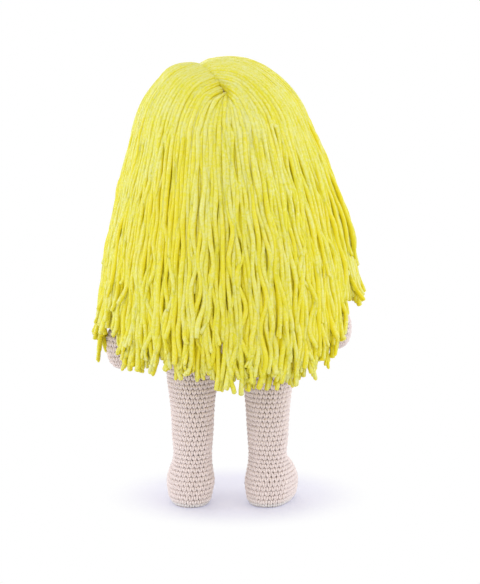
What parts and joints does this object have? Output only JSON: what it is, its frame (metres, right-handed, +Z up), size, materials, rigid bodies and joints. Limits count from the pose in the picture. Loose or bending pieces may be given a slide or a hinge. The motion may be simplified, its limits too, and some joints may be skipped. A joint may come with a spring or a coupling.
{
  "type": "amigurumi doll",
  "caption": "Standing crocheted doll with long yarn hair, a stuffed body, and arms and legs that swing on thread joints.",
  "frame": {"origin": "middle of the footprint of the whole doll, on the surface it stands on", "axes": "+Z up along the doll's height, -Y the way its face looks, +X to the doll's left"},
  "size_m": [0.1652, 0.1136, 0.2808],
  "materials": {
    "skin_yarn": "matte",
    "hair_yarn": "satin",
    "stuffing": "matte",
    "face_yarn": "matte",
    "strong_thread": "matte",
    "dark_plastic": "gloss",
    "clear_plastic": "satin",
    "wood": "matte",
    "card": "matte"
  },
  "bodies": {
    "torso": {"torso_shell": "skin_yarn", "torso_filling": "stuffing", "neck_dowel": "wood", "neck_seam": "strong_thread", "hip_thread": "strong_thread", "shoulder_thread": "strong_thread", "head_shell": "skin_yarn", "head_filling": "stuffing", "left_eye": "dark_plastic", "left_eye_washer": "clear_plastic", "right_eye": "dark_plastic", "right_eye_washer": "clear_plastic", "nose": "skin_yarn", "mouth": "face_yarn", "parting_seam": "hair_yarn", "hair_lock_01": "hair_yarn", "hair_lock_02": "hair_yarn", "hair_lock_03": "hair_yarn", "hair_lock_04": "hair_yarn", "hair_lock_05": "hair_yarn", "hair_lock_06": "hair_yarn", "hair_lock_07": "hair_yarn", "hair_lock_08": "hair_yarn", "hair_lock_09": "hair_yarn", "hair_lock_10": "hair_yarn", "hair_lock_11": "hair_yarn", "hair_lock_12": "hair_yarn", "left_front_lock_1": "hair_yarn", "left_front_lock_2": "hair_yarn", "right_front_lock_1": "hair_yarn", "right_front_lock_2": "hair_yarn"},
    "left_arm": {"left_arm_shell": "skin_yarn", "left_arm_filling": "stuffing", "left_shoulder_button": "clear_plastic"},
    "right_arm": {"right_arm_shell": "skin_yarn", "right_arm_filling": "stuffing", "right_shoulder_button": "clear_plastic"},
    "left_leg": {"left_leg_shell": "skin_yarn", "left_leg_filling": "stuffing", "left_hip_button": "clear_plastic", "left_insole": "card"},
    "right_leg": {"right_leg_shell": "skin_yarn", "right_leg_filling": "stuffing", "right_hip_button": "clear_plastic", "right_insole": "card"}
  },
  "joints": [
    {"name": "left_shoulder", "type": "hinge", "parent": "torso", "child": "left_arm", "pos_m": [0.03343, -0.0055, 0.15501], "axis": [-1, 0, 0], "range_deg": [-10, 90]},
    {"name": "right_shoulder", "type": "hinge", "parent": "torso", "child": "right_arm", "pos_m": [-0.03343, -0.0055, 0.15501], "axis": [-1, 0, 0], "range_deg": [-37, 63]},
    {"name": "left_hip", "type": "hinge", "parent": "torso", "child": "left_leg", "pos_m": [0.0237, -0.0005, 0.097], "axis": [-1, 0, 0], "range_deg": [0, 90]},
    {"name": "right_hip", "type": "hinge", "parent": "torso", "child": "right_leg", "pos_m": [-0.0237, -0.0005, 0.097], "axis": [-1, 0, 0], "range_deg": [0, 90]}
  ]
}
